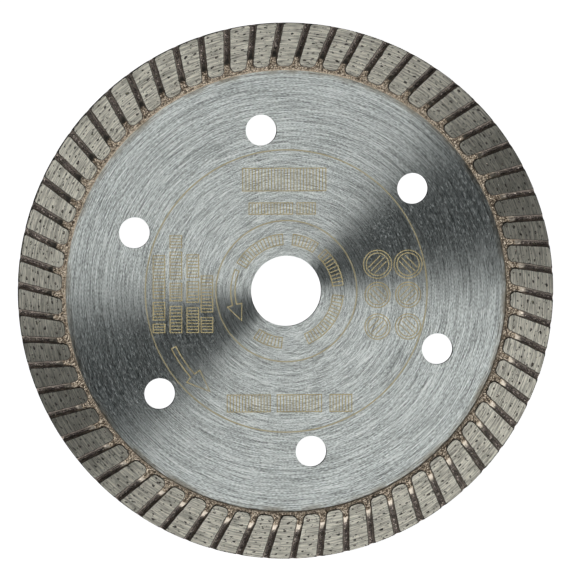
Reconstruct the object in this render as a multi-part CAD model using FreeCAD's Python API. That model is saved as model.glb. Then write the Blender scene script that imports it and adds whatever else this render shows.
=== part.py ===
"""Turbo-rim diamond blade, 76 mm across with a 10 mm bore.

The blade stands on edge: its spin axis is Y, its origin is the middle of the bore at
half the core's thickness, and its marked face looks towards -Y. Every piece is first
built lying flat, marked face up (+Z) and angles counter-clockwise from +X as seen from
above, and stand_up() then turns it upright. All lengths are millimetres.
"""
import FreeCAD, Part
import math
import os

# ---------------------------------------------------------------- driving dimensions
BLADE_D = 76.0              # over the crystal tips
BLADE_T = 2.0               # over the crystal tips of both faces
CRYSTAL_EXPOSURE = 0.03     # how far the tips stand out of the bond

CORE_T = 1.2                # steel core
BORE_D = 10.0
COOLING_HOLES = 6
COOLING_HOLE_D = 4.4
COOLING_HOLE_PCD = 46.1
COOLING_HOLE_START = 38.85  # degrees, first hole
CORE_EDGE_R = 33.0          # hidden edge of the core, inside the transition ring
SEAT_RING_R = 10.0          # laser-cut ring around the flange seat, on both faces
GUIDE_RING_R = 20.0         # laser-cut ring around the marking, on the marked face only
RING_LINE_W = 0.28
RING_LINE_DEPTH = 0.02

FOOT_INNER_R = 31.25        # transition ring: the diamond-free foot of the rim
FOOT_OUTER_R = 33.6
FOOT_T = 1.5

LAND_INNER_R = 31.85        # inner edge of the ground lands
LAND_CORNER_R = 0.75        # rounded inner corners of each land

GROOVES = 62                # on each face
GROOVE_W = 0.86             # at the land's surface
GROOVE_FLOOR_W = 0.42       # drafted walls narrow it towards the floor
GROOVE_WEB_T = 0.7          # bond left between the floors of the two faces
GROOVE_START = 4.16         # degrees, where the first groove leaves the periphery
GROOVE_LEAN = 12.7          # degrees from radial, at the periphery
RAMP_INNER_R = 33.1         # the deep groove climbs to the foot along a ramp
RAMP_OUTER_R = 33.8

CRYSTAL_D = 0.34            # mean diameter of the grit
CRYSTAL_SPREAD = 0.16       # full range of its diameters
CRYSTAL_TUMBLE = (45, 75)   # degrees, range of their tilt
FACE_CRYSTALS_PER_LAND = 3
EDGE_CRYSTALS_PER_LAND = 1
GRIT_MARGIN = 0.65          # clear of a land's inner edge and of the periphery
ROW_SPAN = (0.15, 0.85)     # share of each row of face crystals that they may take
FACE_GRIT_SPAN = (0.27, 0.73)   # share of the pitch, clear of the groove walls
EDGE_GRIT_SPAN = (0.30, 0.70)

# ---------------------------------------------------------------- worked out from them
PITCH = 360.0 / GROOVES
TIP_R = BLADE_D / 2
BOND_R = TIP_R - CRYSTAL_EXPOSURE
LAND_Z = BLADE_T / 2 - CRYSTAL_EXPOSURE
CORE_Z = CORE_T / 2
FOOT_Z = FOOT_T / 2
FLOOR_Z = GROOVE_WEB_T / 2
GROOVE_OFFSET = TIP_R * math.sin(math.radians(GROOVE_LEAN))  # centre line to axis
CLEAR = 1.0                 # how far a cutter runs past what it cuts
GOLDEN = 0.6180339887       # step of the even but irregular sequence for the grit
PLASTIC = 0.7548776662

ORIGIN = FreeCAD.Vector(0, 0, 0)
AXIS_X = FreeCAD.Vector(1, 0, 0)
AXIS_Z = FreeCAD.Vector(0, 0, 1)


def vec(x, y, z=0.0):
    return FreeCAD.Vector(x, y, z)


def polar(radius, degrees, z=0.0):
    a = math.radians(degrees)
    return vec(radius * math.cos(a), radius * math.sin(a), z)


def turned(shape, degrees, axis=AXIS_Z):
    """A copy of the shape, turned about an axis through the origin."""
    copy = shape.copy()
    copy.rotate(ORIGIN, axis, degrees)
    return copy


def flipped(shape):
    """The same feature on the other face, so that both faces look alike.

    The turn is about the radius through the end of the first groove, which lines up
    the groove ends of the two faces at the periphery.
    """
    return turned(shape, 180, polar(1, GROOVE_START))


def stand_up(shape):
    return turned(shape, 90, AXIS_X)


def disc(radius, half_thickness):
    return Part.makeCylinder(radius, 2 * half_thickness, vec(0, 0, -half_thickness), AXIS_Z)


def around(shape, count, start=0.0):
    return [turned(shape, start + i * 360.0 / count) for i in range(count)]


def along_groove(radius):
    """Distance along the groove's centre line at which it crosses a radius."""
    return math.sqrt(radius ** 2 - GROOVE_OFFSET ** 2)


def groove_angle(radius):
    """Polar angle of the first groove's centre line where it crosses a radius."""
    lean = math.degrees(math.asin(GROOVE_OFFSET / radius))
    return GROOVE_START - GROOVE_LEAN + lean


# ---------------------------------------------------------------- steel core
def ring_line(radius):
    """Cutter for a shallow laser-cut line round the marked face."""
    outer = disc(radius + RING_LINE_W / 2, RING_LINE_DEPTH)
    line = outer.cut(disc(radius - RING_LINE_W / 2, CORE_T))
    line.translate(vec(0, 0, CORE_Z))
    return line


def steel_core():
    core = disc(CORE_EDGE_R, CORE_Z)
    bore = disc(BORE_D / 2, CORE_T)
    hole = disc(COOLING_HOLE_D / 2, CORE_T)
    hole.translate(vec(COOLING_HOLE_PCD / 2, 0))
    holes = around(hole, COOLING_HOLES, COOLING_HOLE_START)
    seat_line = ring_line(SEAT_RING_R)
    lines = [seat_line, flipped(seat_line), ring_line(GUIDE_RING_R)]
    return core.cut([bore] + holes + lines)


# ---------------------------------------------------------------- groove cutters
# A groove is drawn along +X with its centre line at y = GROOVE_OFFSET, and then turned
# to its place. Going outwards it leans clockwise.
def deep_groove():
    """Drafted trench with a ramp at its inner end."""
    far = TIP_R + CLEAR
    top = LAND_Z + CLEAR
    ramp_in, ramp_out = along_groove(RAMP_INNER_R), along_groove(RAMP_OUTER_R)
    side = [vec(ramp_in, 0, FOOT_Z), vec(ramp_out, 0, FLOOR_Z), vec(far, 0, FLOOR_Z),
            vec(far, 0, top), vec(ramp_in, 0, top)]
    side_face = Part.Face(Part.makePolygon(side + side[:1]))
    side_face.translate(vec(0, GROOVE_OFFSET - GROOVE_W))
    run = side_face.extrude(vec(0, 2 * GROOVE_W))

    draft = (GROOVE_W - GROOVE_FLOOR_W) / 2 / (LAND_Z - FLOOR_Z)
    half_floor = GROOVE_FLOOR_W / 2
    half_top = half_floor + draft * (top - FLOOR_Z)
    section = [vec(0, GROOVE_OFFSET - half_floor, FLOOR_Z),
               vec(0, GROOVE_OFFSET + half_floor, FLOOR_Z),
               vec(0, GROOVE_OFFSET + half_top, top),
               vec(0, GROOVE_OFFSET - half_top, top)]
    section_face = Part.Face(Part.makePolygon(section + section[:1]))
    trench = section_face.extrude(vec(far, 0))
    return run.common(trench)


def land_corner(side):
    """Points of the rounded corner between a groove wall and the land's inner edge.

    side is +1 for the land beyond the groove and -1 for the land before it. Returns the
    end on the wall, the middle of the arc and the end on the inner edge.
    """
    wall_y = GROOVE_OFFSET + side * GROOVE_W / 2
    centre_y = wall_y + side * LAND_CORNER_R
    centre_dist = LAND_INNER_R + LAND_CORNER_R
    centre = vec(math.sqrt(centre_dist ** 2 - centre_y ** 2), centre_y)
    on_wall = vec(centre.x, wall_y)
    on_edge = centre * (LAND_INNER_R / centre_dist)
    towards_corner = (on_wall - centre) + (on_edge - centre)
    towards_corner.normalize()
    return on_wall, centre + towards_corner * LAND_CORNER_R, on_edge


def shallow_groove():
    """Flared mouth that leaves the foot bare between two rounded land corners."""
    before = land_corner(-1)
    beyond = land_corner(+1)
    end_x = along_groove(RAMP_OUTER_R)
    inside = (LAND_INNER_R - CLEAR) / LAND_INNER_R
    wall_before = vec(end_x, GROOVE_OFFSET - GROOVE_W / 2)
    wall_beyond = vec(end_x, GROOVE_OFFSET + GROOVE_W / 2)
    edges = [
        Part.makeLine(wall_before, before[0]),
        Part.Arc(*before).toShape(),
        Part.makeLine(before[2], before[2] * inside),
        Part.makeLine(before[2] * inside, beyond[2] * inside),
        Part.makeLine(beyond[2] * inside, beyond[2]),
        Part.Arc(beyond[2], beyond[1], beyond[0]).toShape(),
        Part.makeLine(beyond[0], wall_beyond),
        Part.makeLine(wall_beyond, wall_before),
    ]
    plan = Part.Face(Part.Wire(edges))
    plan.translate(vec(0, 0, FOOT_Z))
    return plan.extrude(vec(0, 0, CLEAR))


def groove_cutters(groove):
    front = around(groove, GROOVES, GROOVE_START - GROOVE_LEAN)
    return front + [flipped(cutter) for cutter in front]


# ---------------------------------------------------------------- diamond grit
def crystal(diameter):
    """A cubo-octahedron: a cube with its eight corners cut off, as grit grows."""
    half = diameter / 2
    cube = Part.makeBox(diameter, diameter, diameter, vec(-half, -half, -half))
    reach = 1.9 * half      # the octahedron's points, which leave eight small triangles
    points = [vec(reach, 0), vec(0, reach), vec(-reach, 0), vec(0, -reach)]
    faces = []
    for tip_z in (reach, -reach):
        tip = vec(0, 0, tip_z)
        for i in range(4):
            corners = [points[i], points[(i + 1) % 4], tip, points[i]]
            faces.append(Part.Face(Part.makePolygon(corners)))
    octahedron = Part.Solid(Part.Shell(faces))
    return cube.common(octahedron)


def spread(index, step, low=0.0, high=1.0):
    """The index's place in an even but irregular sequence between two values."""
    return low + (high - low) * ((index * step) % 1.0)


def grit(count, place):
    """Crystals of varied size and turn. place(index) gives a tip point and the
    direction in which the crystal looks out of the bond."""
    unit = crystal(1.0)
    crystals = []
    for i in range(count):
        size = CRYSTAL_D + CRYSTAL_SPREAD * spread(i, GOLDEN, -0.5, 0.5)
        stone = unit.copy()
        stone.scale(size)
        stone = turned(stone, spread(i, PLASTIC, *CRYSTAL_TUMBLE), AXIS_X)
        stone = turned(stone, 360 * spread(i, GOLDEN), AXIS_Z)
        tip, outward = place(i)
        to_face = FreeCAD.Rotation(AXIS_Z, outward)
        stone.rotate(ORIGIN, to_face.Axis, math.degrees(to_face.Angle))
        reach = max(v.Point.dot(outward) for v in stone.Vertexes)
        stone.translate(tip - outward * reach)
        crystals.append(stone)
    return crystals


def face_grit(shift):
    """Crystals on one face's lands, each well clear of the groove walls."""
    inner, outer = LAND_INNER_R + GRIT_MARGIN, BOND_R - GRIT_MARGIN
    row_width = (outer - inner) / FACE_CRYSTALS_PER_LAND

    def place(i):
        land, row = divmod(i, FACE_CRYSTALS_PER_LAND)
        radius = inner + row_width * (row + spread(i + shift, PLASTIC, *ROW_SPAN))
        across = spread(i + shift, GOLDEN, *FACE_GRIT_SPAN)
        return polar(radius, groove_angle(radius) + PITCH * (land + across), BLADE_T / 2), AXIS_Z

    return grit(GROOVES * FACE_CRYSTALS_PER_LAND, place)


def edge_grit():
    """Crystals on the periphery, in the full-thickness lands between groove ends."""
    half_band = LAND_Z - CRYSTAL_D

    def place(i):
        across = spread(i, PLASTIC, *EDGE_GRIT_SPAN)
        height = spread(i, GOLDEN, -half_band, half_band)
        angle = GROOVE_START + PITCH * (i / EDGE_CRYSTALS_PER_LAND + across)
        return polar(TIP_R, angle, height), polar(1, angle)

    return grit(GROOVES * EDGE_CRYSTALS_PER_LAND, place)


# ---------------------------------------------------------------- rim
def transition_ring(cutters):
    """U-section ring that wraps the core's edge and shows as the brown foot."""
    ring = disc(FOOT_OUTER_R, FOOT_Z).cut(disc(FOOT_INNER_R, BLADE_T))
    core_pocket = disc(CORE_EDGE_R, CORE_Z)
    return ring.cut([core_pocket] + cutters)


def diamond_rim(deep, shallow, crystals):
    """Working layer: one ring whose lands lip over the foot on both faces."""
    ring = disc(BOND_R, LAND_Z).cut(disc(LAND_INNER_R, BLADE_T))
    foot = disc(FOOT_OUTER_R, FOOT_Z)
    return ring.cut([foot] + deep + shallow).cut(crystals)


def main():
    deep = groove_cutters(deep_groove())
    shallow = groove_cutters(shallow_groove())
    front = face_grit(shift=0)
    back = [flipped(stone) for stone in face_grit(shift=17)]
    edge = edge_grit()
    nodes = {
        "steel_core": steel_core(),
        "transition_ring": transition_ring(deep),
        "diamond_rim": diamond_rim(deep, shallow, front + back + edge),
        "diamond_grit_front": Part.makeCompound(front),
        "diamond_grit_back": Part.makeCompound(back),
        "diamond_grit_edge": Part.makeCompound(edge),
    }
    os.makedirs("parts", exist_ok=True)
    for name, shape in nodes.items():
        stand_up(shape).exportStep(f"parts/{name}.step")


main()
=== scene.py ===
import math

import bmesh
import bpy
import numpy as np
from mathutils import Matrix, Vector, noise
from mathutils.geometry import delaunay_2d_cdt


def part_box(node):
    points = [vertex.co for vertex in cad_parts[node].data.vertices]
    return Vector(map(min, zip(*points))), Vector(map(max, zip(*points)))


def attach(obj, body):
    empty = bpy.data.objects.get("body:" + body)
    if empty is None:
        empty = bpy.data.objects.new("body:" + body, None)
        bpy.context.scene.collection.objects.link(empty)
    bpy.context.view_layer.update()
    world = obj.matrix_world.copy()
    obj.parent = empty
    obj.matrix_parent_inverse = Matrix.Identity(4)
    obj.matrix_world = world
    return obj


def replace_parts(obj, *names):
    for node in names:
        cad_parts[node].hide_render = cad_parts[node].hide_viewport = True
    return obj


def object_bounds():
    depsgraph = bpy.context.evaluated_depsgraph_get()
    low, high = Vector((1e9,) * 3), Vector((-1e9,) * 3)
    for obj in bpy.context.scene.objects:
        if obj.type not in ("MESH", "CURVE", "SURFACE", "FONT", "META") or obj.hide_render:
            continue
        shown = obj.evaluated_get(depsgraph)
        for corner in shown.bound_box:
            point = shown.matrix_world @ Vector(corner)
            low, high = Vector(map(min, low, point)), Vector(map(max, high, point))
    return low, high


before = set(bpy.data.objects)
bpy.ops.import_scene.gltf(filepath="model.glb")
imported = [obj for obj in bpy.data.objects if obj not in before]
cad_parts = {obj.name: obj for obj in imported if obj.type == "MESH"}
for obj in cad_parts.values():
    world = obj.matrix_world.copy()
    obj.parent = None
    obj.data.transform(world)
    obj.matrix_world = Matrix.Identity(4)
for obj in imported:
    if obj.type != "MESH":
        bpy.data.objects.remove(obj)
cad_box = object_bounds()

# The blade stands on edge. Its axis is Y, and its marked face looks towards -Y. A place
# on a face is given as a radius and an angle, counter-clockwise from +X as seen from the
# front. Lengths in this script are millimetres, and MM turns them into Blender's metres.
MM = 0.001


# ------------------------------------------------------------------ sizes
def far_corner(node):
    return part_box(node)[1] / MM


CORE_Y = far_corner("steel_core").y
CORE_EDGE_R = far_corner("steel_core").x
FOOT_Y = far_corner("transition_ring").y
FOOT_OUTER_R = far_corner("transition_ring").x
LAND_Y = far_corner("diamond_rim").y
BOND_R = far_corner("diamond_rim").x

# Sizes of part.py that no box gives.
SEAT_RING_R = 10.0
GUIDE_RING_R = 20.0
RING_LINE_W = 0.28
FOOT_INNER_R = 31.25
LAND_INNER_R = 31.85
LAND_CORNER_R = 0.75
GROOVES = 62
PITCH = 2 * math.pi / GROOVES
GROOVE_HALF = 0.43
GROOVE_FLOOR_HALF = 0.21
GROOVE_FLOOR_Y = 0.35
GROOVE_START = math.radians(4.16)
GROOVE_LEAN = math.radians(12.7)
BLADE_R = 38.0              # over the crystal tips
GROOVE_OFFSET = BLADE_R * math.sin(GROOVE_LEAN)
GROOVE_LINE = GROOVE_START - GROOVE_LEAN    # direction of the first groove's centre line
RAMP_INNER_R = 33.1
RAMP_OUTER_R = 33.8

# The steep ramp ends this far above a groove's floor, and the rest fades out up to RUN_OUT_R.
RUN_OUT_RISE = 0.11
RUN_OUT_R = 34.6


# ------------------------------------------------------------------ node helpers
class Net:
    """A node tree with short ways to add and link nodes."""

    def __init__(self, tree):
        self.tree = tree
        tree.nodes.clear()

    def node(self, kind, inputs=None, **settings):
        made = self.tree.nodes.new(kind)
        for key, value in settings.items():
            setattr(made, key, value)
        for key, value in (inputs or {}).items():
            self.set(made.inputs[key], value)
        return made

    def set(self, socket, value):
        if isinstance(value, bpy.types.NodeSocket):
            self.tree.links.new(value, socket)
        else:
            socket.default_value = value

    def math(self, operation, *values):
        made = self.node("ShaderNodeMath", operation=operation)
        for i, value in enumerate(values):
            self.set(made.inputs[i], value)
        return made.outputs[0]

    def ramp(self, value, low, high, to_low=0.0, to_high=1.0, smooth=False):
        made = self.node("ShaderNodeMapRange", {0: value, 1: low, 2: high, 3: to_low, 4: to_high})
        if smooth:
            made.interpolation_type = "SMOOTHSTEP"
        return made.outputs[0]

    def combine(self, x, y, z):
        return self.node("ShaderNodeCombineXYZ", {0: x, 1: y, 2: z}).outputs[0]

    def noise(self, vector, scale=1.0, detail=2.0, rough=0.5):
        made = self.node("ShaderNodeTexNoise", {"Vector": vector, "Scale": scale, "Detail": detail,
                                                "Roughness": rough})
        return made.outputs["Fac"]

    def cells(self, vector, scale):
        """Distance to the nearest of scattered points, in cell widths."""
        return self.node("ShaderNodeTexVoronoi", {"Vector": vector, "Scale": scale}).outputs["Distance"]

    def mix(self, factor, a, b, blend="MIX"):
        made = self.node("ShaderNodeMix", data_type="RGBA", blend_type=blend)
        self.set(made.inputs[0], factor)
        self.set(made.inputs[6], a)
        self.set(made.inputs[7], b)
        return made.outputs[2]

    def shaded(self, colour, shade):
        """The colour times one number."""
        return self.mix(1.0, colour, self.combine(shade, shade, shade), "MULTIPLY")

    def place(self):
        """The place on the blade in millimetres, as a vector and as x, y and z."""
        metres = self.node("ShaderNodeTexCoord").outputs["Object"]
        scaled = self.node("ShaderNodeVectorMath", {0: metres}, operation="SCALE")
        scaled.inputs["Scale"].default_value = 1 / MM
        vector = scaled.outputs[0]
        return vector, *self.node("ShaderNodeSeparateXYZ", {0: vector}).outputs

    def radius(self, x, z):
        """Distance from an axis along Y."""
        square = self.math("ADD", self.math("MULTIPLY", x, x), self.math("MULTIPLY", z, z))
        return self.math("SQRT", square)

    def arcs(self, x, z, centre, across, along, detail=3.0):
        """Marks that run round a centre, with so many features per millimetre and per radian.

        The angle goes in as a cosine and a sine, so that the marks have no seam.
        """
        dx = self.math("SUBTRACT", x, centre[0])
        dz = self.math("SUBTRACT", z, centre[1])
        radius = self.radius(dx, dz)
        cos, sin = self.math("DIVIDE", dx, radius), self.math("DIVIDE", dz, radius)
        vector = self.combine(self.math("MULTIPLY", radius, across), self.math("MULTIPLY", cos, along),
                              self.math("MULTIPLY", sin, along))
        return self.noise(vector, detail=detail, rough=0.6)

    def facing(self):
        """How squarely the surface faces along the blade's axis, from 0 to 1."""
        outward = self.node("ShaderNodeTexCoord").outputs["Normal"]
        return self.math("ABSOLUTE", self.node("ShaderNodeSeparateXYZ", {0: outward}).outputs[1])

    def line(self, value, middle, width):
        """1 on a line of that width about the middle, 0 outside."""
        off = self.math("ABSOLUTE", self.math("SUBTRACT", value, middle))
        return self.ramp(off, width * 0.35, width * 0.65, 1.0, 0.0)

    def bump(self, height, strength, distance):
        return self.node("ShaderNodeBump", {"Height": height, "Strength": strength,
                                            "Distance": distance * MM}).outputs[0]

    def surface(self, inputs, turned=False):
        """Ends the tree in one shader. turned gives it highlights for marks that run round the axis."""
        if turned:
            tangent = self.node("ShaderNodeTangent", direction_type="RADIAL", axis="Y").outputs[0]
            inputs = {"Anisotropic Rotation": 0.25, "Tangent": tangent, **inputs}
        bsdf = self.node("ShaderNodeBsdfPrincipled", inputs)
        self.node("ShaderNodeOutputMaterial", {"Surface": bsdf.outputs[0]})


def new_material(name):
    material = bpy.data.materials.new(name)
    material.use_nodes = True
    return material, Net(material.node_tree)


# ------------------------------------------------------------------ materials
STEEL_TINT = (0.63, 0.66, 0.65, 1)
SCRATCH_TINT = (0.95, 0.97, 0.96, 1)    # fresh scratches in the steel
HEAT_TINT = (0.30, 0.25, 0.18, 1)
HEAT_R = (30.3, 31.2)                   # from here to here the heat tint grows
CUT_TINT = (0.10, 0.10, 0.095, 1)       # walls of the holes and the bore
MARK_TINT = (0.50, 0.415, 0.215, 1)

GRAIN_TINTS = (0.36, 0.28, 0.20, 1), (0.92, 0.79, 0.64, 1)      # darkest and lightest bronze grain
GAP_TINT = (0.09, 0.065, 0.045, 1)
SMEAR_TINT = (0.40, 0.335, 0.26, 1)     # the foot's inner edge, smeared by grinding
SMEAR_R = (31.6, 31.3)                  # from none to most

LAND_TINTS = (0.57, 0.54, 0.47, 1), (0.67, 0.64, 0.56, 1)
TORN_TINT = (0.05, 0.047, 0.04, 1)
FLOOR_TINTS = (0.048, 0.038, 0.034, 1), (0.23, 0.19, 0.17, 1)
# Painted highlights: light specks on the groove floors for crystals that glint.
FLOOR_GLINT_TINT = (0.72, 0.63, 0.56, 1)
WALL_TINTS = (0.13, 0.11, 0.095, 1), (0.39, 0.33, 0.285, 1)
RUBBED_TINTS = (0.13, 0.11, 0.095, 1), (0.46, 0.40, 0.35, 1)    # the periphery
RUBBED_R = (BOND_R - 0.12, BOND_R - 0.05)
RAMP_TINT = (0.36, 0.317, 0.27, 1)      # bond pressed bright on the ramps of the grooves
# Painted shade: a near-black outline on the raw bond near the top of each face.
EDGE_SHADE_TINT = (0.03, 0.027, 0.024, 1)
EDGE_SHADE_Y = (0.84, 0.90)                   # painted shade: the rounded edges of the lands, their chips and the pits are darkened from here up


def ground_streaks(net, x, z):
    """Scratches of circular grinding: most run round the axis and some cross them."""
    long = net.arcs(x, z, (0, 0), 10.0, 2.5, 1.0)
    short = net.arcs(x, z, (0, 0), 11.0, 70.0, 0.0)
    cross_a = net.arcs(x, z, (2.4, 1.2), 10.0, 4.0, 1.0)
    cross_b = net.arcs(x, z, (-1.8, -1.6), 10.0, 4.0, 1.0)
    total = net.math("ADD", net.math("ADD", long, short), net.math("ADD", cross_a, cross_b))
    return short, net.math("MULTIPLY", total, 0.25)


def ground_steel(name):
    """Core steel ground in circles, tinted by heat beside the rim, with its laser-cut rings."""
    material, net = new_material(name)
    place, x, y, z = net.place()
    radius = net.radius(x, z)
    fine, streak = ground_streaks(net, x, z)
    steel = net.shaded(STEEL_TINT, net.ramp(streak, 0.40, 0.60, 0.36, 1.62))
    scratch = net.ramp(net.arcs(x, z, (1.2, -1.8), 7.0, 9.0, 0.0), 0.66, 0.73, 0.0, 0.7)
    steel = net.mix(scratch, steel, SCRATCH_TINT)
    glint = net.ramp(net.arcs(x, z, (0, 0), 8.0, 45.0, 2.0), 0.46, 0.66)
    stain = net.ramp(net.noise(place, 0.32, 3.0), 0.4, 0.65, 0.15, 0.8)
    heat = net.math("MULTIPLY", net.ramp(radius, *HEAT_R, smooth=True), stain)
    steel = net.mix(heat, steel, HEAT_TINT)
    front = net.math("LESS_THAN", y, 0.0)
    lines = 0.0
    for ring, side in ((SEAT_RING_R, 1.0), (GUIDE_RING_R, front)):
        line = net.line(radius, ring, RING_LINE_W * 0.7)
        lines = net.math("MAXIMUM", lines, net.math("MULTIPLY", line, side))
    steel = net.mix(net.math("MULTIPLY", lines, 0.85), steel, MARK_TINT)
    colour = net.mix(net.ramp(net.facing(), 0.3, 0.6), CUT_TINT, steel)
    dull = net.math("MAXIMUM", net.math("MULTIPLY", lines, 0.7), net.math("MULTIPLY", glint, 0.30))
    metallic = net.math("SUBTRACT", 1.0, dull)
    net.surface({"Base Color": colour, "Metallic": metallic,
                 "Roughness": net.ramp(streak, 0.42, 0.58, 0.46, 0.32), "Anisotropic": 1.0,
                 "Normal": net.bump(fine, 0.45, 0.01)}, turned=True)
    return material


def laser_mark(name):
    """Thin straw-coloured oxide film, duller than the steel it is burnt into."""
    material, net = new_material(name)
    _, x, _, z = net.place()
    fine, streak = ground_streaks(net, x, z)
    colour = net.shaded(MARK_TINT, net.ramp(streak, 0.42, 0.58, 0.7, 1.3))
    net.surface({"Base Color": colour, "Metallic": 0.2, "Roughness": 0.6,
                 "Normal": net.bump(fine, 0.2, 0.01)})
    return material


def granular_foot(name):
    """Sintered bronze foot: grains with dark gaps between them."""
    material, net = new_material(name)
    place, x, _, z = net.place()
    radius = net.radius(x, z)
    gaps = net.cells(place, 5.2)
    cloud = net.noise(place, 2.6, 4.0)
    grain = net.mix(net.ramp(cloud, 0.4, 0.62), *GRAIN_TINTS)
    colour = net.mix(net.ramp(gaps, 0.25, 0.7), grain, GAP_TINT)
    smear = net.math("MULTIPLY", net.ramp(radius, *SMEAR_R), net.ramp(cloud, 0.35, 0.55, 0.15, 0.8))
    colour = net.mix(smear, colour, SMEAR_TINT)
    on_ramp = net.ramp(radius, RAMP_INNER_R + 0.05, RAMP_INNER_R + 0.2)
    colour = net.mix(on_ramp, colour, RAMP_TINT)
    height = net.math("MULTIPLY", net.math("SUBTRACT", cloud, gaps), net.ramp(on_ramp, 0, 1, 1.0, 0.15))
    net.surface({"Base Color": colour, "Metallic": net.ramp(on_ramp, 0, 1, 0.7, 1.0),
                 "Roughness": net.ramp(on_ramp, 0, 1, 0.5, 0.38), "Normal": net.bump(height, 0.8, 0.06)})
    return material


def ground_bond(name):
    """The lands: warm grey metal ground in circles, smeared with soot and torn in specks."""
    material, net = new_material(name)
    place, x, _, z = net.place()
    streak = net.arcs(x, z, (0, 0), 6.0, 11.0)
    cloud = net.noise(place, 0.7, 3.0)
    land = net.mix(net.ramp(cloud, 0.35, 0.65), *LAND_TINTS)
    land = net.shaded(land, net.ramp(streak, 0.38, 0.62, 0.58, 1.42))
    speck = net.ramp(net.arcs(x, z, (0, 0), 3.8, 62.0, 1.0), 0.66, 0.72, 0.0, 0.9)
    smear = net.ramp(net.arcs(x, z, (0, 0), 4.5, 30.0, 2.0), 0.58, 0.70, 0.0, 0.5)
    colour = net.mix(net.math("MAXIMUM", speck, smear), land, TORN_TINT)
    net.surface({"Base Color": colour, "Metallic": 0.94,
                 "Roughness": net.ramp(streak, 0.36, 0.64, 0.48, 0.34), "Anisotropic": 0.88,
                 "Normal": net.bump(streak, 0.15, 0.01)}, turned=True)
    return material


def raw_bond(name):
    """The bond as it came from the mould: brown-grey and rough, in grooves, pits and round the edge."""
    material, net = new_material(name)
    place, x, y, z = net.place()
    grit = net.noise(place, 6.0, 3.0)
    cloud = net.noise(place, 1.4, 2.0)
    radius = net.radius(x, z)
    facing = net.facing()
    floor = net.mix(net.ramp(grit, 0.45, 0.62), *FLOOR_TINTS)
    # Painted highlights: light specks on the floor stand in for glinting crystals.
    floor = net.mix(net.ramp(net.noise(place, 4.5, 1.0), 0.62, 0.70), floor, FLOOR_GLINT_TINT)
    wall = net.mix(net.ramp(grit, 0.4, 0.6), *WALL_TINTS)
    on_wall = net.math("MULTIPLY", net.ramp(facing, 0.75, 0.55), net.ramp(facing, 0.12, 0.22))
    colour = net.mix(on_wall, floor, wall)
    rubbed = net.mix(net.ramp(grit, 0.40, 0.62), *RUBBED_TINTS)
    colour = net.mix(net.ramp(radius, *RUBBED_R), colour, rubbed)
    worn = net.math("ADD", radius, net.math("MULTIPLY", cloud, 0.9))
    on_ramp = net.ramp(worn, RUN_OUT_R + 0.05, RUN_OUT_R - 0.2)
    colour = net.mix(on_ramp, colour, RAMP_TINT)
    colour = net.shaded(colour, net.ramp(cloud, 0.35, 0.65, 0.65, 1.4))
    # Painted shade: near-black along the land edges, at chips and in the pits.
    colour = net.mix(net.ramp(net.math("ABSOLUTE", y), *EDGE_SHADE_Y), colour, EDGE_SHADE_TINT)
    height = net.math("MULTIPLY", grit, net.ramp(on_ramp, 0, 1, 1.0, 0.2))
    metallic = net.ramp(net.math("SUBTRACT", on_wall, on_ramp), -1, 1, 1.0, 0.2)
    net.surface({"Base Color": colour, "Metallic": metallic,
                 "Roughness": net.ramp(on_ramp, 0, 1, 0.5, 0.34), "Normal": net.bump(height, 0.6, 0.05)})
    return material


def grit_crystal(name):
    """Yellow-grey synthetic diamond, cloudy inside."""
    material, net = new_material(name)
    place = net.place()[0]
    cloud = net.noise(place, 3.0, 2.0)
    colour = net.mix(net.ramp(cloud, 0.35, 0.65), (0.10, 0.10, 0.06, 1), (0.34, 0.33, 0.20, 1))
    net.surface({"Base Color": colour, "Roughness": 0.25, "IOR": 2.42})
    return material


# ------------------------------------------------------------------ mesh helpers
def new_piece(name, vertices, faces, materials, sharp=None):
    """A piece from vertices in millimetres, which rides on the blade.

    sharp is the angle in degrees from which an edge is shaded as a sharp one.
    """
    mesh = bpy.data.meshes.new(name)
    mesh.from_pydata(np.asarray(vertices) * MM, [], faces)
    shape = bmesh.new()
    shape.from_mesh(mesh)
    bmesh.ops.recalc_face_normals(shape, faces=shape.faces)
    shape.to_mesh(mesh)
    shape.free()
    for material in materials:
        mesh.materials.append(material)
    if sharp:
        mesh.polygons.foreach_set("use_smooth", [True] * len(mesh.polygons))
        mesh.set_sharp_from_angle(angle=math.radians(sharp))
    piece = bpy.data.objects.new(name, mesh)
    bpy.context.scene.collection.objects.link(piece)
    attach(piece, "root")
    return piece


def strip(faces, near, far):
    """Joins two closed rings of vertex numbers with quads."""
    for i in range(len(near)):
        j = (i + 1) % len(near)
        faces.append((near[i], near[j], far[j], far[i]))


def rough(x, y, z, size):
    """Smooth noise from -1 to 1 with features of about that size."""
    return noise.noise(Vector((x, y, z)) / size)


# ------------------------------------------------------------------ rim
# Each face is built as one cell for each groove. A cell runs from one groove's centre line
# to the next, and holds half of each groove and the land between them. Inside a cell a
# place is (across, radius, height): across is measured from the cell's first centre line
# and is scaled so that every cell is CELL_W wide at every radius.
CELL_W = PITCH * 35.0       # a cell's true width in the middle of the rim
RIM_INNER_R = 31.70         # edge of the thin lips, hidden in the foot
LIP_TOP, LIP_UNDER = FOOT_Y - 0.04, FOOT_Y - 0.06
STEP = 0.2                  # spacing of points along walls and edges
EDGE_ROUND = 0.05           # worn rounding of a land's edge
WALL_DRAFT = (GROOVE_HALF - GROOVE_FLOOR_HALF) / (LAND_Y - GROOVE_FLOOR_Y)
CHIP_CHANCE = 0.10          # share of a land's edge that is chipped
CHIP_SIZE = (0.03, 0.10)
WAVER = 0.02                # how far walls and floors wander, either way
LAND_WAVE = 0.004           # how far a land's surface dips between its points
PITS = (8, 14)              # fewest and most pits on a land
PIT_HALF_LENGTH = (0.10, 0.26)
PIT_DEPTH = (0.10, 0.16)
PIT_RINGS = (1.0, 0.0, 9), (0.58, 0.75, 7)      # share of the size, share of the depth, points
GRID_STEP = 0.33            # spacing of the points between the pits
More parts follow.
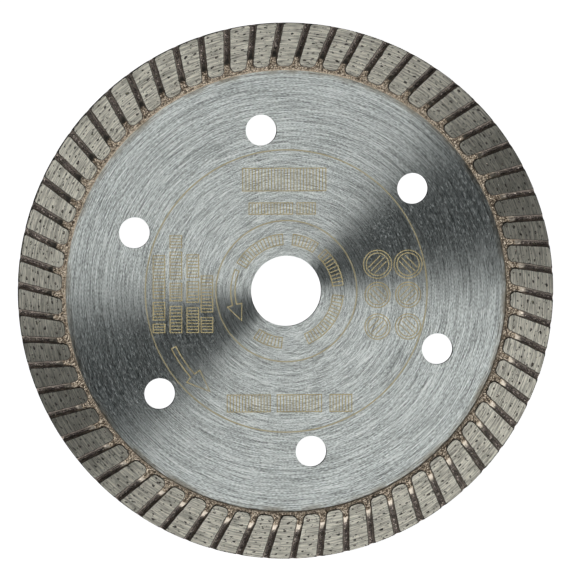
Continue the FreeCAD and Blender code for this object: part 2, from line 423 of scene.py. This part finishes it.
INNER_POINTS = 8            # points of a cell on its inner edge
OUTER_POINTS = 9            # points of a land on its outer edge
EDGE_ROWS = 7               # rows of points between the faces, on the periphery


def from_line(offset, radius):
    """Angle from a groove's direction to the point at that offset from its centre line."""
    return np.arcsin((GROOVE_OFFSET + offset) / radius)


def across_at(radius, angle):
    """Angle from the first groove's direction, turned into a cell's across."""
    return (angle - from_line(0.0, radius)) / PITCH * CELL_W


def ramp_height(radius):
    """The foot, then a ramp that runs out into the deep floor."""
    heights = [FOOT_Y, GROOVE_FLOOR_Y + RUN_OUT_RISE, GROOVE_FLOOR_Y]
    return np.interp(radius, [RAMP_INNER_R, RAMP_OUTER_R, RUN_OUT_R], heights)


def floor_height(radius):
    """Bottom of a groove, which dips below the foot's surface where the foot covers it."""
    under_foot = np.interp(radius, [FOOT_OUTER_R, FOOT_OUTER_R + 0.05], [FOOT_Y - LIP_TOP, 0.0])
    return ramp_height(radius) - under_foot


def corner_arc(side):
    """Points and outward normals of a land's rounded inner corner, from wall to inner edge.

    side is +1 for the land beyond the groove and -1 for the land before it.
    """
    centre_y = GROOVE_OFFSET + side * (GROOVE_HALF + LAND_CORNER_R)
    centre_r = LAND_INNER_R + LAND_CORNER_R
    centre = np.array([math.sqrt(centre_r ** 2 - centre_y ** 2), centre_y])
    to_wall = math.atan2(-side, 0.0)
    to_edge = math.atan2(-centre[1], -centre[0])
    turn = (to_edge - to_wall + math.pi) % (2 * math.pi) - math.pi
    angles = to_wall + turn * np.linspace(0.0, 1.0, 7)
    normals = np.stack([np.cos(angles), np.sin(angles)], -1)
    return centre + LAND_CORNER_R * normals, normals


def turn_points(points, angle):
    c, s = math.cos(angle), math.sin(angle)
    return points @ np.array([[c, s], [-s, c]])


def land_outline():
    """A land's walls and inner edge as points and outward normals, from one outer end to the other."""
    parts = []
    for side, turn in ((+1, 0.0), (-1, PITCH)):
        arc, arc_normals = corner_arc(side)
        wall_y = GROOVE_OFFSET + side * GROOVE_HALF
        end_x = math.sqrt(BOND_R ** 2 - wall_y ** 2)
        count = round((end_x - arc[0, 0]) / STEP)
        xs = np.linspace(end_x, arc[0, 0], count, endpoint=False)
        wall = np.stack([xs, np.full(count, wall_y)], -1)
        wall_normals = np.tile([0.0, -side], (count, 1))
        points = turn_points(np.concatenate([wall, arc]), turn)
        normals = turn_points(np.concatenate([wall_normals, arc_normals]), turn)
        parts.append((points, normals))
    (points_a, normals_a), (points_b, normals_b) = parts
    start = math.atan2(points_a[-1, 1], points_a[-1, 0])
    end = math.atan2(points_b[-1, 1], points_b[-1, 0])
    count = round((end - start) * LAND_INNER_R / STEP)
    angles = np.linspace(start, end, count + 1)[1:-1]
    normals_in = -np.stack([np.cos(angles), np.sin(angles)], -1)
    points = np.concatenate([points_a, -LAND_INNER_R * normals_in, points_b[::-1]])
    normals = np.concatenate([normals_a, normals_in, normals_b[::-1]])
    return points, normals


OUTLINE, OUTLINE_NORMALS = land_outline()


class Cell:
    """The points and edges of one cell, gathered before they are joined into triangles."""

    def __init__(self):
        self.points = []
        self.edges = []

    def add(self, across, radius, height):
        self.points.append((across, radius, height))
        return len(self.points) - 1

    def add_line(self, points, heights):
        """A chain of points given in the first groove's frame. Returns their numbers.

        Points beside the periphery are put exactly on it.
        """
        radius = np.hypot(points[:, 0], points[:, 1])
        radius = np.where(radius > BOND_R - 0.03, BOND_R, radius)
        across = across_at(radius, np.arctan2(points[:, 1], points[:, 0]))
        chain = [self.add(*values) for values in zip(across, radius, heights)]
        self.join(chain)
        return chain

    def join(self, chain, closed=False):
        self.edges += zip(chain, chain[1:])
        if closed:
            self.edges.append((chain[-1], chain[0]))

    def triangles(self):
        plan = [Vector(point[:2]) for point in self.points]
        made = delaunay_2d_cdt(plan, self.edges, [], 0, 1e-6)
        if len(made[0]) != len(plan):
            raise RuntimeError("a cell's lines cross: %d, %d" % (len(made[0]), len(plan)))
        source = [origins[0] for origins in made[3]]
        return [tuple(source[v] for v in face) for face in made[2]]


def land_margin(across, radius):
    """How far inside a land's outline a place is. It ignores the outer edge."""
    before = radius * math.sin(across / CELL_W * PITCH + from_line(0.0, radius)) - GROOVE_OFFSET
    beyond = GROOVE_OFFSET - radius * math.sin((across / CELL_W - 1) * PITCH + from_line(0.0, radius))
    sides = min(before, beyond) - GROOVE_HALF
    inner = radius - LAND_INNER_R
    if sides < LAND_CORNER_R and inner < LAND_CORNER_R:
        return LAND_CORNER_R - math.hypot(LAND_CORNER_R - sides, LAND_CORNER_R - inner)
    return min(sides, inner)


def add_pit(cell, rng, across, radius, half_length):
    """A torn-out grain: an oval hole in two steps, drawn out on one side by the grinding."""
    half_width = half_length * rng.uniform(0.52, 0.78)
    depth = rng.uniform(*PIT_DEPTH)
    tail = rng.uniform(1.0, 1.6)
    lean = rng.uniform(-0.25, 0.25)
    for size, share, count in PIT_RINGS:
        turns = np.arange(count) * 2 * math.pi / count + rng.uniform(0, 0.5)
        reach = size * rng.uniform(0.9, 1.1, count)
        xs = half_length * np.cos(turns) * reach
        xs = np.where(xs < 0, xs * tail, xs)
        zs = half_width * np.sin(turns) * reach * np.where(xs < 0, 0.75, 1.0)
        height = LAND_Y - depth * share
        chain = [cell.add(across + x, radius + z + lean * x, height) for x, z in zip(xs, zs)]
        cell.join(chain, closed=True)
    cell.add(across, radius, LAND_Y - depth)


def fill_land(cell, rng):
    """Pits, and then a loose grid of points with a slight waviness, in the middle of the land.

    The clearances keep the rings of a pit from crossing another pit's or the land's outline. A
    crowded land gives up a pit now and then.
    """
    pits = []
    wanted = rng.integers(*PITS, endpoint=True)
    while len(pits) < wanted:
        half_length = rng.uniform(*PIT_HALF_LENGTH)
        across = rng.uniform(0.6, CELL_W - 0.6)
        radius = rng.uniform(LAND_INNER_R + 0.3, BOND_R - 0.2 - 1.2 * half_length)
        room = 0.30 + half_length
        apart = all(math.hypot((across - a) * 0.6, radius - r) > room + size for a, r, size in pits)
        if apart and land_margin(across, radius) > 0.2 + 1.8 * half_length:
            pits.append((across, radius, half_length))
        elif rng.random() < 0.02:
            wanted -= 1
    for across, radius, half_length in pits:
        add_pit(cell, rng, across, radius, half_length)
    for radius in np.arange(LAND_INNER_R + 0.25, BOND_R - 0.2, GRID_STEP):
        for across in np.arange(0.6, CELL_W - 0.5, GRID_STEP):
            a, r = across + rng.uniform(-0.08, 0.08), radius + rng.uniform(-0.08, 0.08)
            clear = all(math.hypot((a - pit[0]) / 1.7, r - pit[1]) > 0.14 + pit[2] for pit in pits)
            if clear and land_margin(a, r) > 0.19 and r < BOND_R - 0.18:
                cell.add(a, r, LAND_Y - rng.uniform(0.0, LAND_WAVE))


def wall_lines(rng):
    """The rounded land edge, the wall and its base, as rows of points and heights round the land."""
    count = len(OUTLINE)
    radius = np.hypot(OUTLINE[:, 0], OUTLINE[:, 1])
    inside = np.ones(count)
    inside[[0, -1]] = 0.0
    chips = np.where(rng.random(count) < CHIP_CHANCE, rng.uniform(*CHIP_SIZE, count), 0.0)
    wear = (chips + rng.uniform(0.0, 0.025, count)) * inside
    drop = np.where(chips > 0, 0.06, 0.02) * inside + EDGE_ROUND * (1 - inside)
    bottom = floor_height(radius)
    spread = (LAND_Y - bottom) * WALL_DRAFT
    waver = rng.uniform(-WAVER, WAVER, count) * inside
    rows = [(-(EDGE_ROUND + wear), LAND_Y - EDGE_ROUND * (1 - inside)),
            (-wear, LAND_Y - drop),
            (spread * 0.5 + waver, (LAND_Y + bottom) / 2),
            (spread, bottom + rng.uniform(-0.015, 0.015, count) * inside)]
    return [(OUTLINE + OUTLINE_NORMALS * shift[:, None], height) for shift, height in rows]


LINE_RADII = np.linspace(RIM_INNER_R, BOND_R, 32)      # points of a groove's centre line
FLOOR_RADII = np.linspace(RAMP_INNER_R + 0.2, BOND_R, 24)


def floor_points(side, rng):
    """A row of points half way between a groove's centre line and the base of its wall."""
    y = np.full(len(FLOOR_RADII), GROOVE_OFFSET + side * GROOVE_FLOOR_HALF / 2)
    points = np.stack([np.sqrt(FLOOR_RADII ** 2 - y ** 2), y], -1)
    heights = floor_height(FLOOR_RADII) + rng.uniform(-WAVER, WAVER, len(y))
    return turn_points(points, 0.0 if side > 0 else PITCH), heights


def fill_cell(rng, line_heights, next_line_heights):
    """One cell, its triangles, and the numbers of the points on its four sides."""
    cell = Cell()
    first = [cell.add(0.0, *values) for values in zip(LINE_RADII, line_heights)]
    last = [cell.add(CELL_W, *values) for values in zip(LINE_RADII, next_line_heights)]
    inner = [cell.add(CELL_W * i / INNER_POINTS, RIM_INNER_R, LIP_TOP) for i in range(1, INNER_POINTS)]
    rows = [cell.add_line(*row) for row in wall_lines(rng)]
    floor_a = cell.add_line(*floor_points(+1, rng))
    floor_b = cell.add_line(*floor_points(-1, rng))

    # The outer side, from one centre line to the next.
    start, end = cell.points[rows[0][0]][0], cell.points[rows[0][-1]][0]
    edge = []
    for across in np.linspace(start, end, OUTER_POINTS + 2)[1:-1]:
        chip = rng.uniform(0.0, 0.12) if rng.random() < 0.2 else 0.0
        edge.append(cell.add(across, BOND_R, LAND_Y - EDGE_ROUND - chip))
        cell.add(across + rng.uniform(-0.03, 0.03), BOND_R - EDGE_ROUND - chip * 0.6, LAND_Y)
    rising = [floor_a[-1]] + [row[0] for row in rows[::-1]]
    falling = [row[-1] for row in rows] + [floor_b[-1]]
    outer = rising + edge + falling
    cell.join([first[-1]] + outer + [last[-1]])
    cell.join([first[0]] + inner + [last[0]])
    cell.join(first)
    cell.join(last)
    fill_land(cell, rng)
    return cell, first, last, inner, outer


def rim_face(back, rng):
    """One face of the rim: its vertices, triangles and outer and inner rings of vertex numbers."""
    count = len(LINE_RADII)
    bases = [floor_height(LINE_RADII) + rng.uniform(-WAVER, WAVER, count) for _ in range(GROOVES)]
    for heights in bases:
        heights[LINE_RADII < RAMP_INNER_R] = LIP_TOP
    places = [(0.0, r, h, k) for k in range(GROOVES) for r, h in zip(LINE_RADII, bases[k])]
    triangles, outer_ring, inner_ring = [], [], []
    for k in range(GROOVES):
        following = (k + 1) % GROOVES
        cell, first, last, inner, outer = fill_cell(rng, bases[k], bases[following])
        number = dict(zip(first, range(k * count, (k + 1) * count)))
        number.update(zip(last, range(following * count, (following + 1) * count)))
        for i, point in enumerate(cell.points):
            if i not in number:
                number[i] = len(places)
                places.append((*point, k))
        triangles += [tuple(number[v] for v in triangle) for triangle in cell.triangles()]
        outer_ring += [number[v] for v in [first[-1]] + outer]
        inner_ring += [number[v] for v in [first[0]] + inner]
    across, radius, height, groove = np.array(places).T
    angle = GROOVE_LINE + from_line(0.0, radius) + PITCH * (groove + across / CELL_W)
    if back:
        angle, height = 2 * GROOVE_START - angle, -height
    vertices = np.stack([radius * np.cos(angle), -height, radius * np.sin(angle)], -1)
    return vertices, triangles, outer_ring, inner_ring


def working_rim(ground, raw):
    """Both faces, joined at the periphery and, under the lips, by a wall at the foot's outer edge."""
    rng = np.random.default_rng(62)
    front, triangles, front_outer, front_inner = rim_face(False, rng)
    rear, rear_triangles, rear_outer, rear_inner = rim_face(True, rng)
    vertices = [front, rear]
    total = len(front) + len(rear)
    faces = triangles + [tuple(v + len(front) for v in triangle) for triangle in rear_triangles]
    every = np.concatenate(vertices)

    # The rear face runs the other way round, so its rings are read backwards. Its inner
    # points are turned from the front's by the lean of the grooves.
    lean = 2 * (from_line(0.0, RIM_INNER_R) - GROOVE_LEAN) / PITCH
    rear_outer = [len(front) + rear_outer[-i] for i in range(len(rear_outer))]
    shift = round(lean * INNER_POINTS)
    rear_inner = [len(front) + rear_inner[(-i - shift) % len(rear_inner)] for i in range(len(rear_inner))]

    def add_ring(points):
        nonlocal total
        vertices.append(points)
        total += len(points)
        return list(range(total - len(points), total))

    ring = front_outer
    start, end = every[front_outer], every[rear_outer]
    for row in range(1, EDGE_ROWS + 1):
        points = start + (end - start) * row / (EDGE_ROWS + 1)
        # The moulded periphery is bumpy, and stays just inside BOND_R.
        hollows = [0.03 + 0.03 * rough(*point, 0.4) + 0.02 * rough(*point, 0.15) for point in points]
        depth = np.array(hollows)
        radius = np.hypot(points[:, 0], points[:, 2])
        points[:, [0, 2]] *= ((BOND_R - depth) / radius)[:, None]
        added = add_ring(points)
        strip(faces, ring, added)
        ring = added
    strip(faces, ring, rear_outer)

    ring = front_inner
    for side, ends in ((-1, front_inner), (+1, rear_inner)):
        flat = every[ends][:, [0, 2]] / RIM_INNER_R
        radii = [RIM_INNER_R, RAMP_INNER_R, FOOT_OUTER_R]
        for radius in radii if side < 0 else radii[::-1]:
            height = floor_height(radius) - (LIP_TOP - LIP_UNDER)
            points = np.insert(flat * radius, 1, side * height, axis=1)
            added = add_ring(points)
            strip(faces, ring, added)
            ring = added
    strip(faces, ring, rear_inner)
    rim = new_piece("working_rim", np.concatenate(vertices), faces, [ground, raw], sharp=16)

    # Only what lies in a land's surface is ground.
    for polygon in rim.data.polygons:
        lowest = min(abs(rim.data.vertices[v].co.y) for v in polygon.vertices)
        polygon.material_index = 0 if lowest > (LAND_Y - LAND_WAVE * 1.5) * MM else 1
    return rim


# ------------------------------------------------------------------ foot
FOOT_COLUMNS = 20 * GROOVES
FOOT_STEP = 0.13
GRAINS = (0.022, 0.28), (0.016, 0.13)       # height and size of coarse and fine grains


def sintered_foot(material):
    """The U-section ring round the core's edge, with its grains raised on both faces."""
    top = [(FOOT_INNER_R, CORE_Y - 0.01), (FOOT_INNER_R, CORE_Y + 0.04)]
    rise = [(FOOT_INNER_R, CORE_Y + 0.08), (FOOT_INNER_R + 0.15, FOOT_Y - 0.02), (LAND_INNER_R, FOOT_Y)]
    top += [(r, np.interp(r, *zip(*rise))) for r in np.arange(FOOT_INNER_R + 0.06, RAMP_INNER_R, FOOT_STEP)]
    top += [(r, ramp_height(r)) for r in np.linspace(RAMP_INNER_R, FOOT_OUTER_R, 5)]
    bottom = [(r, -y) for r, y in reversed(top)]
    pocket = [(CORE_EDGE_R, -CORE_Y + 0.01), (CORE_EDGE_R, CORE_Y - 0.01)]
    section = top + bottom + pocket
    angles = np.arange(FOOT_COLUMNS) * 2 * math.pi / FOOT_COLUMNS
    vertices, faces, rings = [], [], []
    for radius, height in section:
        raised = abs(height) > CORE_Y and radius > FOOT_INNER_R
        for angle in angles:
            x, z, y = radius * math.cos(angle), radius * math.sin(angle), -height
            if raised:
                grain = sum(rise * rough(x, y, z, size) for rise, size in GRAINS)
                y += math.copysign(grain, y)
            vertices.append((x, y, z))
        rings.append(list(range(len(vertices) - FOOT_COLUMNS, len(vertices))))
    for near, far in zip(rings, rings[1:] + rings[:1]):
        strip(faces, near, far)
    return new_piece("sintered_foot", vertices, faces, [material], sharp=50)


# ------------------------------------------------------------------ loose grit
GRIT_R = (0.06, 0.10)           # a small crystal's radius
FLOOR_GRIT = 3                  # crystals on each groove's floor
EDGE_GRIT = 8                   # crystals on the periphery beside each groove


def crystal_shape():
    """A cuboctahedron: twelve corners, eight triangles and six squares."""
    corners = [(a, b, 0) for a in (-1, 1) for b in (-1, 1)]
    corners += [(a, 0, b) for a in (-1, 1) for b in (-1, 1)]
    corners += [(0, a, b) for a in (-1, 1) for b in (-1, 1)]
    shape = bmesh.new()
    for corner in corners:
        shape.verts.new(Vector(corner) / math.sqrt(2))
    bmesh.ops.convex_hull(shape, input=shape.verts)
    shape.verts.index_update()
    vertices = np.array([v.co for v in shape.verts])
    faces = [tuple(v.index for v in face.verts) for face in shape.faces]
    shape.free()
    return vertices, faces


def random_turn(rng):
    """An even random rotation, from a random quaternion."""
    quaternion = rng.normal(size=4)
    w, x, y, z = quaternion / np.linalg.norm(quaternion)
    return np.array([[1 - 2 * (y * y + z * z), 2 * (x * y - z * w), 2 * (x * z + y * w)],
                     [2 * (x * y + z * w), 1 - 2 * (x * x + z * z), 2 * (y * z - x * w)],
                     [2 * (x * z - y * w), 2 * (y * z + x * w), 1 - 2 * (x * x + y * y)]])


def scattered_grit(material):
    """Small crystals on the groove floors and round the periphery, between the CAD's larger ones."""
    rng = np.random.default_rng(7)
    places = []
    for k in range(GROOVES):
        for back in (False, True):
            for radius in rng.uniform(RAMP_OUTER_R + 0.2, BOND_R - 0.3, FLOOR_GRIT):
                angle = GROOVE_LINE + PITCH * k + from_line(rng.uniform(-0.12, 0.12), radius)
                angle = 2 * GROOVE_START - angle if back else angle
                y = ramp_height(radius) * (1 if back else -1)
                places.append((radius * math.cos(angle), y, radius * math.sin(angle)))
        for _ in range(EDGE_GRIT):
            angle = GROOVE_START + PITCH * (k + rng.uniform(0.16, 0.84))
            radius = BOND_R - 0.08
            places.append((radius * math.cos(angle), rng.uniform(-0.8, 0.8), radius * math.sin(angle)))
    shape, shape_faces = crystal_shape()
    vertices, faces = [], []
    for i, place in enumerate(places):
        stone = shape @ random_turn(rng) * rng.uniform(*GRIT_R) + place
        vertices.append(stone)
        faces += [tuple(v + i * len(shape) for v in face) for face in shape_faces]
    return new_piece("scattered_grit", np.concatenate(vertices), faces, [material])


# ------------------------------------------------------------------ laser marking
MARK_W = 0.14               # width of a marked line
MITRE_LIMIT = 2.0           # a sharp corner sticks out no further, in half widths
FILM_TOP = CORE_Y + 0.006   # the film stands this far from the middle of the core
FILM_UNDER = CORE_Y - 0.004
STROKE_GAP = 0.45           # spacing of the hatching

# Arrows: radii of the shaft, angles of its start, of its end and of the tip, half width of the head.
ARROWS = (17.5, 18.2, 206.4, 221.8, 232.5, 1.25), (7.3, 7.9, 157.0, 194.5, 213.0, 1.05)
SYMBOL_ROWS = (3.75, 2.0), (-0.6, 1.8), (-5.1, 1.8)     # height and radius
SYMBOL_COLUMNS = 12.95, 17.3
SYMBOL_GAP = 0.4            # between a symbol's two rings
SYMBOL_STROKES = -0.6, 0.0, 0.6
SYMBOL_INSET = 0.25         # between the inner ring and the ends of the strokes

# Hatched blocks in place of words, as (start, end) along each line.
LEVEL_LINES = ((10.9, 1.6, [(-5.3, 0.9), (1.5, 4.1)]),          # foot of the line, its height, its words
               (14.2, 3.2, [(-6.2, 5.6)]),
               (-17.1, 2.4, [(-8.4, -2.3), (-1.3, 5.0), (6.2, 9.3)]))
UPRIGHT_LINES = ((-18.9, [(-5.8, -4.6), (-4.0, -1.5), (-0.9, 5.1)]),        # left side, words
                 (-16.5, [(-5.8, -2.1), (-1.3, 1.2), (1.8, 5.6), (6.2, 7.9)]),
                 (-14.1, [(-5.8, -2.3), (-1.5, 1.4), (2.0, 5.2)]),
                 (-12.1, [(-5.8, -3.7), (-2.9, 2.2)]))
UPRIGHT_HEIGHT = 1.65
RING_WORDS = (-150, -94), (-83, -56), (-47, -6), (5, 67), (95, 125)         # in degrees, clockwise
RING_WORDS_R = 6.6
RING_WORDS_HEIGHT = 1.5


def at(radius, degrees):
    a = math.radians(degrees)
    return radius * math.cos(a), radius * math.sin(a)


def arc(radius, start, end, centre=(0.0, 0.0)):
    """Points of an arc, about 0.4 mm apart."""
    count = max(2, round(abs(math.radians(end - start)) * radius / 0.4))
    angles = np.radians(np.linspace(start, end, count + 1))
    return [(centre[0] + radius * math.cos(a), centre[1] + radius * math.sin(a)) for a in angles]


def ribbon(path, closed):
    """Vertices and faces of a thin solid line along a path on the marked face."""
    path = np.array(path)
    ahead = np.roll(path, -1, 0) - path
    ahead /= np.linalg.norm(ahead, axis=1)[:, None]
    behind = np.roll(ahead, 1, 0)
    if not closed:
        ahead[-1], behind[0] = behind[-1], ahead[0]
    mitre = ahead + behind
    mitre /= (1 + (ahead * behind).sum(1))[:, None]
    mitre *= np.minimum(1.0, MITRE_LIMIT / np.linalg.norm(mitre, axis=1))[:, None]
    across = np.stack([-mitre[:, 1], mitre[:, 0]], -1) * MARK_W / 2
    rings = []
    for side, y in ((1, FILM_TOP), (-1, FILM_TOP), (-1, FILM_UNDER), (1, FILM_UNDER)):
        rings.append(np.insert(path + side * across, 1, -y, axis=1))
    vertices = np.stack(rings, 1).reshape(-1, 3)
    faces = []
    count = len(path)
    for i in range(count if closed else count - 1):
        a, b = 4 * i, 4 * ((i + 1) % count)
        faces += [(a + c, a + (c + 1) % 4, b + (c + 1) % 4, b + c) for c in range(4)]
    if not closed:
        faces += [(0, 1, 2, 3), (4 * count - 1, 4 * count - 2, 4 * count - 3, 4 * count - 4)]
    return vertices, faces


def mark(name, open_paths, closed_paths, material):
    """All the given lines as one piece."""
    vertices, faces, total = [], [], 0
    for paths, closed in ((open_paths, False), (closed_paths, True)):
        for path in paths:
            points, sides = ribbon(path, closed)
            vertices.append(points)
            faces += [tuple(v + total for v in side) for side in sides]
            total += len(points)
    return new_piece(name, np.concatenate(vertices), faces, [material])


def arrow(inner, outer, start, neck, tip, wings):
    """Outline of an arrow bent round the axis."""
    middle = (inner + outer) / 2
    head = [at(middle + wings, neck + 0.5), at(middle, tip), at(middle - wings, neck + 0.5)]
    return arc(outer, start, neck) + head + arc(inner, neck, start)


def hatching(words, height, put):
    """Outlined blocks with upright strokes. put(along, up) gives a point's place on the face."""
    strokes, frames = [], []
    for start, end in words:
        count = max(2, round((end - start) / STROKE_GAP))
        stations = np.linspace(start, end, count + 1)
        bottom = [put(s, 0.0) for s in stations]
        top = [put(s, height) for s in stations[::-1]]
        frames.append(bottom + top)
        inset = MARK_W * 0.7
        strokes += [[put(s, inset), put(s, height - inset)] for s in stations[1:-1]]
    return strokes, frames


def marking(material):
    """Rotation arrows, ringed symbols and hatched blocks in place of every text."""
    mark("laser_arrows", [], [arrow(*sizes) for sizes in ARROWS], material)

    strokes, rings = [], []
    for row, (z, radius) in enumerate(SYMBOL_ROWS):
        for column, x in enumerate(SYMBOL_COLUMNS):
            rings += [arc(r, 0, 360, (x, z))[:-1] for r in (radius, radius - SYMBOL_GAP)]
            lean = math.radians(45 + 90 * ((row + column) % 2))
            along = np.array([math.cos(lean), math.sin(lean)])
            beside = np.array([-along[1], along[0]])
            for shift in SYMBOL_STROKES:
                half = math.sqrt((radius - SYMBOL_GAP - SYMBOL_INSET) ** 2 - shift ** 2)
                middle = np.array([x, z]) + beside * shift
                strokes.append([middle - along * half, middle + along * half])
    mark("laser_symbols", strokes, rings, material)

    lines = []
    for foot, height, words in LEVEL_LINES:
        lines.append((words, height, lambda s, t, foot=foot: (s, foot + t)))
    for left, words in UPRIGHT_LINES:
        lines.append((words, UPRIGHT_HEIGHT, lambda s, t, left=left: (left + t, s)))
    words = [tuple(math.radians(a) * RING_WORDS_R for a in word) for word in RING_WORDS]
    lines.append((words, RING_WORDS_HEIGHT,
                  lambda s, t: at(RING_WORDS_R + t, -math.degrees(s / RING_WORDS_R))))
    strokes, frames = [], []
    for words, height, put in lines:
        line_strokes, line_frames = hatching(words, height, put)
        strokes += line_strokes
        frames += line_frames
    mark("laser_blocks", strokes, frames, material)


# ------------------------------------------------------------------ stage
KEY_LINE = 296.5            # degrees about the blade's axis, where the wide softbox stands
KEY_SIDES = (0.36, 0.60)    # cosine of the angle about the axis where its sides fade in
KEY_INNER = (0.95, 0.82)    # cosine of the angle from the axis where its inner edge fades in
KEY_OUTER = (0.30, 0.55)    # the same for its outer edge
EDGE_BAND = (0.22, 0.06)    # the same for the light level with the blade
KEY_LIGHT = (3.25, 3.3, 3.25, 1)
FILL_LIGHT = (0.022, 0.026, 0.028, 1)
EDGE_LIGHT = (0.60, 0.61, 0.60, 1)
BACK_SHARE = 0.65           # how bright the softbox is behind the blade


def make_world():
    """One wide softbox to the lower right, a weak fill, and light level with the blade for its edge."""
    world = bpy.data.worlds.new("light_tent")
    bpy.context.scene.world = world
    world.use_nodes = True
    net = Net(world.node_tree)
    direction = net.node("ShaderNodeTexCoord").outputs["Generated"]
    dx, dy, dz = net.node("ShaderNodeSeparateXYZ", {0: direction}).outputs
    angle = net.math("ARCTAN2", dz, dx)
    towards_key = net.math("COSINE", net.math("SUBTRACT", angle, math.radians(KEY_LINE)))
    along = net.math("ABSOLUTE", dy)
    off_axis = net.ramp(along, *KEY_INNER, smooth=True)
    off_axis = net.math("MULTIPLY", off_axis, net.ramp(along, *KEY_OUTER, smooth=True))
    off_axis = net.math("MULTIPLY", off_axis, net.ramp(dy, -0.1, 0.1, 1.0, BACK_SHARE))
    share = net.math("MULTIPLY", net.ramp(towards_key, *KEY_SIDES, smooth=True), off_axis)
    camera = net.node("ShaderNodeLightPath").outputs["Is Camera Ray"]
    fill = net.mix(net.ramp(along, *EDGE_BAND, smooth=True), FILL_LIGHT, EDGE_LIGHT)
    light = net.mix(share, fill, KEY_LIGHT)
    tent = net.node("ShaderNodeBackground", {"Color": light})
    white = net.node("ShaderNodeBackground", {"Color": (1, 1, 1, 1)})
    both = net.node("ShaderNodeMixShader", {0: camera, 1: tent.outputs[0], 2: white.outputs[0]})
    net.node("ShaderNodeOutputWorld", {"Surface": both.outputs[0]})


def make_floor():
    """A wide sheet of white paper that throws no light on the blade."""
    half = 20.0     # metres, wide enough to fill every view
    level = cad_box[0][2]
    mesh = bpy.data.meshes.new("floor")
    corners = [(-half, -half, level), (half, -half, level), (half, half, level), (-half, half, level)]
    mesh.from_pydata(corners, [], [(0, 1, 2, 3)])
    material, net = new_material("floor_paper")
    net.surface({"Base Color": (0.93, 0.93, 0.93, 1), "Roughness": 0.9,
                 "Emission Color": (1, 1, 1, 1), "Emission Strength": 1.0})
    mesh.materials.append(material)
    floor = bpy.data.objects.new("floor", mesh)
    bpy.context.scene.collection.objects.link(floor)
    floor.visible_glossy = False
    floor.visible_diffuse = False
    floor.visible_shadow = False


LENS = 500.0
SENSOR = 36.0
FRAME_W = 81.68             # width of the picture at the blade
TILT = 5.8                  # degrees between the line of sight and the blade's axis
TILT_TOWARDS = 147.0        # degrees about the axis, the side that the camera stands on
AIM = (0.35, 0.0, 0.69)     # where it looks


def make_camera():
    data = bpy.data.cameras.new("camera")
    camera = bpy.data.objects.new("camera", data)
    bpy.context.scene.collection.objects.link(camera)
    data.lens = LENS
    data.sensor_width = SENSOR
    data.clip_end = 100.0
    tilt, side = math.radians(TILT), math.radians(TILT_TOWARDS)
    towards = Vector((math.sin(tilt) * math.cos(side), -math.cos(tilt), math.sin(tilt) * math.sin(side)))
    camera.location = (Vector(AIM) + towards * FRAME_W * LENS / SENSOR) * MM
    camera.rotation_euler = (-towards).to_track_quat("-Z", "Y").to_euler()
    bpy.context.scene.camera = camera


# ------------------------------------------------------------------ the blade
def finish_node(node, material):
    """Gives a CAD node its material."""
    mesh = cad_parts[node].data
    mesh.materials.clear()
    mesh.materials.append(material)


finish_node("steel_core", ground_steel("ground_steel"))
crystal = grit_crystal("diamond")
for place in ("front", "back", "edge"):
    finish_node(f"diamond_grit_{place}", crystal)
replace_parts(working_rim(ground_bond("ground_bond"), raw_bond("raw_bond")), "diamond_rim")
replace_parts(sintered_foot(granular_foot("granular_foot")), "transition_ring")
scattered_grit(crystal)
marking(laser_mark("laser_mark"))

make_camera()
make_world()
make_floor()
bpy.context.scene.view_settings.view_transform = "Standard"
